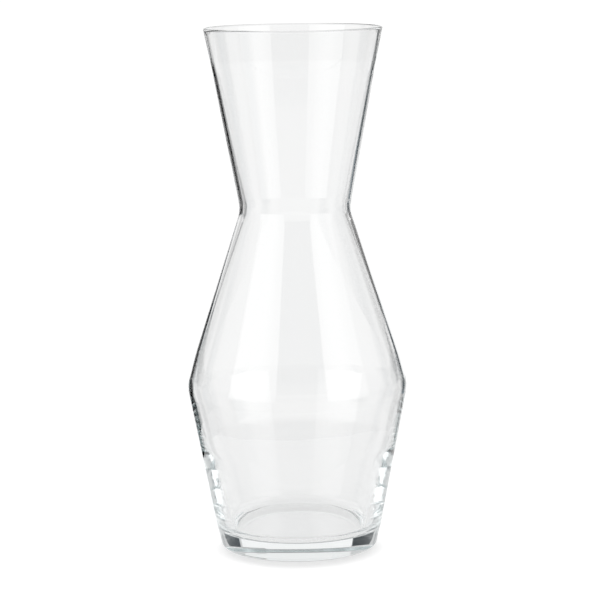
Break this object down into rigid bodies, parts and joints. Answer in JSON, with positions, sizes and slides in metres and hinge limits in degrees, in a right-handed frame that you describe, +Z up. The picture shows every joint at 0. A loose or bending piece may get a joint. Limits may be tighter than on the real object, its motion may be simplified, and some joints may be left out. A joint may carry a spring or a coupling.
{
  "type": "table carafe",
  "caption": "Clear glass table carafe of hourglass outline: flared neck, narrow waist, wide belly and thick base, open at the mouth, with no handle or lid.",
  "frame": {"origin": "centre of the foot ring, on the surface that the carafe stands on", "axes": "+Z up along the axis of revolution, towards the mouth"},
  "size_m": [0.1052, 0.1052, 0.25],
  "materials": {
    "clear_glass": "polished"
  },
  "bodies": {
    "root": {"carafe_body": "clear_glass"}
  },
  "joints": []
}
